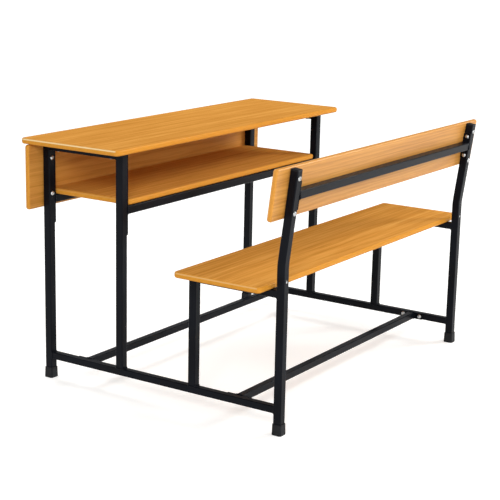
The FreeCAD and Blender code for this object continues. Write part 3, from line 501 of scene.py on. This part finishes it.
def fasten(name, kind, grip, places):
    """Set headed pins at PLACES, in place of the plain ones of the node of that name."""
    piece = marks(f"{name}_headed", [(at, turn, 1.0) for at, turn in places])
    grow(piece, pin_tree, grip=grip, finish=bright_zinc, **kind)
    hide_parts(name)
    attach(piece, "root")


leg_lines = [middle(f"{side}_front_leg").x for side in SIDES]
bolt_radius = FRAME_BOLT["head"] / 2
screw_radius = BOARD_SCREW["head"] / 2

low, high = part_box("modesty_panel_bolts")
panel_rows = (low.z + bolt_radius, high.z - bolt_radius)
leg_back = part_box("left_front_leg")[0].y
fasten("modesty_panel_bolts", FRAME_BOLT, LEG_GRIP,
       [((x, leg_back, z), BACKWARD) for x in leg_lines for z in panel_rows])

rail_middle = middle("backrest_rail")
backrest_places = []
rail_places = []
for side, x in zip(SIDES, leg_lines):
    plate_face = x + INWARD[side] * (HALF_LEG + PLATE)
    for step in (-1, 1):
        at = rail_middle + step * BACKREST_REACH * UP_THE_LEAN + HALF_LEG * BACK_OF_LEAN
        backrest_places.append(((x, at.y, at.z), BACK_AND_DOWN))
        at = rail_middle + step * PLATE_REACH * UP_THE_LEAN
        rail_places.append(((plate_face, at.y, at.z), (0, INWARD[side] * QUARTER_TURN, 0)))
fasten("backrest_bolts", FRAME_BOLT, LEG_GRIP, backrest_places)
fasten("backrest_rail_bolts", FRAME_BOLT, PLATE_GRIP, rail_places)

cross_places = []
shelf_places = []
low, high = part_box("shelf_rail_bolts")
shelf_bolt_rows = (low.z + bolt_radius, high.z - bolt_radius)
for side in SIDES:
    facing = (0, INWARD[side] * QUARTER_TURN, 0)
    for rail in ("shelf_front_rail", "shelf_back_rail"):
        face = middle(f"{rail}_{side}_plate").x + INWARD[side] * PLATE / 2
        shelf_places += [((face, middle(rail).y, z), facing) for z in shelf_bolt_rows]
    for rail in ("front_cross_rail", "rear_cross_rail"):
        centre = middle(f"{rail}_{side}_plate")
        face = centre.x + INWARD[side] * PLATE / 2
        for step in (-PLATE_REACH, PLATE_REACH):
            cross_places.append(((face, centre.y + step, centre.z), facing))
fasten("cross_rail_bolts", FRAME_BOLT, PLATE_GRIP, cross_places)
fasten("shelf_rail_bolts", FRAME_BOLT, PLATE_GRIP, shelf_places)

for name, rail in (("desktop_screws", "left_top_rail"), ("seat_screws", "left_seat_rail")):
    low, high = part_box(name)
    rows = (low.y + screw_radius, high.y - screw_radius)
    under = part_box(rail)[0].z
    fasten(name, BOARD_SCREW, RAIL_GRIP, [((x, y, under), DOWNWARD) for x in leg_lines for y in rows])
low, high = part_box("shelf_screws")
columns = (low.x + screw_radius, high.x - screw_radius)
rows = [middle(rail).y for rail in ("shelf_front_rail", "shelf_back_rail")]
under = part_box("shelf_front_rail")[0].z
fasten("shelf_screws", BOARD_SCREW, LEG_GRIP, [((x, y, under), DOWNWARD) for x in columns for y in rows])

rivet_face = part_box("upright_rivets")[1].y
rivet_height = middle("upright_rivets").z
fasten("upright_rivets", RIVET, RIVET_GRIP, [((x, rivet_face, rivet_height), BACKWARD) for x in leg_lines])


# Rivet nuts and threaded inserts: zinc-plated steel, set in the tube walls for the bolts of the end
# plates, and in the modesty panel and the backrest for theirs. They are out of sight.
cover(bright_zinc, "rivet_nuts", "modesty_panel_inserts", "backrest_inserts")


# Studio floor: white paper that keeps the desk's shadow. What is seen or mirrored of it also glows,
# more with the distance, so that it runs out into a white ground without lighting the desk.
FLOOR_SPAN = 30.0
PAPER = "#E6E6E4"
WHITE = "#FFFFFF"
NEAR = 1.5
FAR = 6.0
NEAR_GLOW = 0.45
FAR_GLOW = 0.75


def seen_or_mirrored(tree):
    """One for what the camera sees, directly, in a mirror or through glass, and nought for the light."""
    ray = add(tree, "ShaderNodeLightPath").outputs
    seen = add(tree, "ShaderNodeMath", {0: ray["Is Camera Ray"], 1: ray["Is Glossy Ray"]},
               operation="MAXIMUM")
    seen = add(tree, "ShaderNodeMath", {0: seen.outputs[0], 1: ray["Is Transmission Ray"]},
               operation="MAXIMUM")
    return seen.outputs[0]


floor_mesh = bpy.data.meshes.new("studio_floor")
floor_corners = [(x * FLOOR_SPAN, y * FLOOR_SPAN, 0) for x, y in ((-1, -1), (1, -1), (1, 1), (-1, 1))]
floor_mesh.from_pydata(floor_corners, [], [(0, 1, 2, 3)])
floor = bpy.data.objects.new("studio_floor", floor_mesh)
bpy.context.scene.collection.objects.link(floor)
paper = bpy.data.materials.new("white paper")
paper.use_nodes = True
tree = paper.node_tree
tree.nodes.clear()
matt = add(tree, "ShaderNodeBsdfDiffuse", {"Color": linear(PAPER)})
spot = add(tree, "ShaderNodeTexCoord").outputs["Object"]
away = add(tree, "ShaderNodeVectorMath", {0: spot}, operation="LENGTH")
bright = add(tree, "ShaderNodeMapRange", {"Value": away.outputs["Value"], "From Min": NEAR, "From Max": FAR,
                                          "To Min": NEAR_GLOW, "To Max": FAR_GLOW})
shown = add(tree, "ShaderNodeMath", {0: seen_or_mirrored(tree), 1: bright.outputs["Result"]},
            operation="MULTIPLY")
glow = add(tree, "ShaderNodeEmission", {"Color": linear(WHITE), "Strength": shown.outputs[0]})
both = add(tree, "ShaderNodeAddShader", {0: matt.outputs[0], 1: glow.outputs[0]})
add(tree, "ShaderNodeOutputMaterial", {"Surface": both.outputs[0]})
floor_mesh.materials.append(paper)
floor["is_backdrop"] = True


# Studio walls and ceiling: an even, soft light from all round. Seen or mirrored, the walls are
# white, and the ceiling over them is dim. Heights are sines of the angle above the horizon.
WALL_TOP = 0.16
CEILING_FROM = 0.27
CEILING = 0.1
AROUND = 0.5
world = bpy.data.worlds.new("white studio")
bpy.context.scene.world = world
world.use_nodes = True
tree = world.node_tree
sky = tree.nodes["Background"]
sky.inputs["Color"].default_value = linear(WHITE)
aim = add(tree, "ShaderNodeSeparateXYZ", {0: add(tree, "ShaderNodeTexCoord").outputs["Generated"]})
wall = add(tree, "ShaderNodeMapRange", {"Value": aim.outputs["Z"], "From Min": CEILING_FROM,
                                        "From Max": WALL_TOP, "To Min": CEILING, "To Max": 1.0})
level = add(tree, "ShaderNodeMapRange", {"Value": seen_or_mirrored(tree), "To Min": AROUND,
                                         "To Max": wall.outputs["Result"]})
tree.links.new(level.outputs["Result"], sky.inputs["Strength"])


# Studio lamps: four soft boxes. The key lamp stands high behind the bench on the right and a low one
# straight behind it, one on the left fills the shade, and one hangs high in front of the desk.
def lamp(name, power, size, place, target):
    """A soft box of that SIZE at PLACE, turned to TARGET."""
    data = bpy.data.lights.new(name, "AREA")
    data.energy = power
    data.shape = "RECTANGLE"
    data.size, data.size_y = size
    light = bpy.data.objects.new(name, data)
    bpy.context.scene.collection.objects.link(light)
    light.location = place
    light.rotation_euler = (Vector(target) - Vector(place)).to_track_quat("-Z", "Y").to_euler()


lamp("key_lamp", 102, (1.3, 1.3), (3.4, -2.6, 2.8), (0, 0, 0.6))
lamp("low_lamp", 48, (1.6, 1.2), (0.2, -4.2, 1.95), (0, 0, 0.6))
lamp("left_lamp", 64, (1.0, 1.0), (-3.4, -1.8, 2.3), (-0.2, 0, 0.6))
lamp("window_lamp", 44, (1.2, 1.2), (0.4, 2.2, 3.2), (0, 0.1, 0.65))


# Camera: at the photograph's viewing angle, behind the bench on the left, a little above the desk.
# Its place and lens were fitted to the edges of the tubes and boards.
VIEW_AZIMUTH = math.radians(-56.83)
VIEW_ELEVATION = math.radians(13.508)
VIEW_ROLL = math.radians(1.279)
VIEW_DISTANCE = 4.6
VIEW_TARGET = Vector((0.0953, 0.1124, 0.3291))
VIEW_LENS = 99.6
VIEW_SENSOR = 36
camera_data = bpy.data.cameras.new("camera")
camera_data.lens = VIEW_LENS
camera_data.sensor_width = VIEW_SENSOR
camera = bpy.data.objects.new("camera", camera_data)
bpy.context.scene.collection.objects.link(camera)
swung = Matrix.Rotation(VIEW_AZIMUTH, 4, "Z")
raised = Matrix.Rotation(QUARTER_TURN - VIEW_ELEVATION, 4, "X")
rolled = Matrix.Rotation(VIEW_ROLL, 4, "Z")
aimed = swung @ raised @ rolled
camera.matrix_world = Matrix.Translation(VIEW_TARGET + aimed.col[2].to_3d() * VIEW_DISTANCE) @ aimed
bpy.context.scene.camera = camera
bpy.context.scene.view_settings.view_transform = "Standard"

low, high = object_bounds()
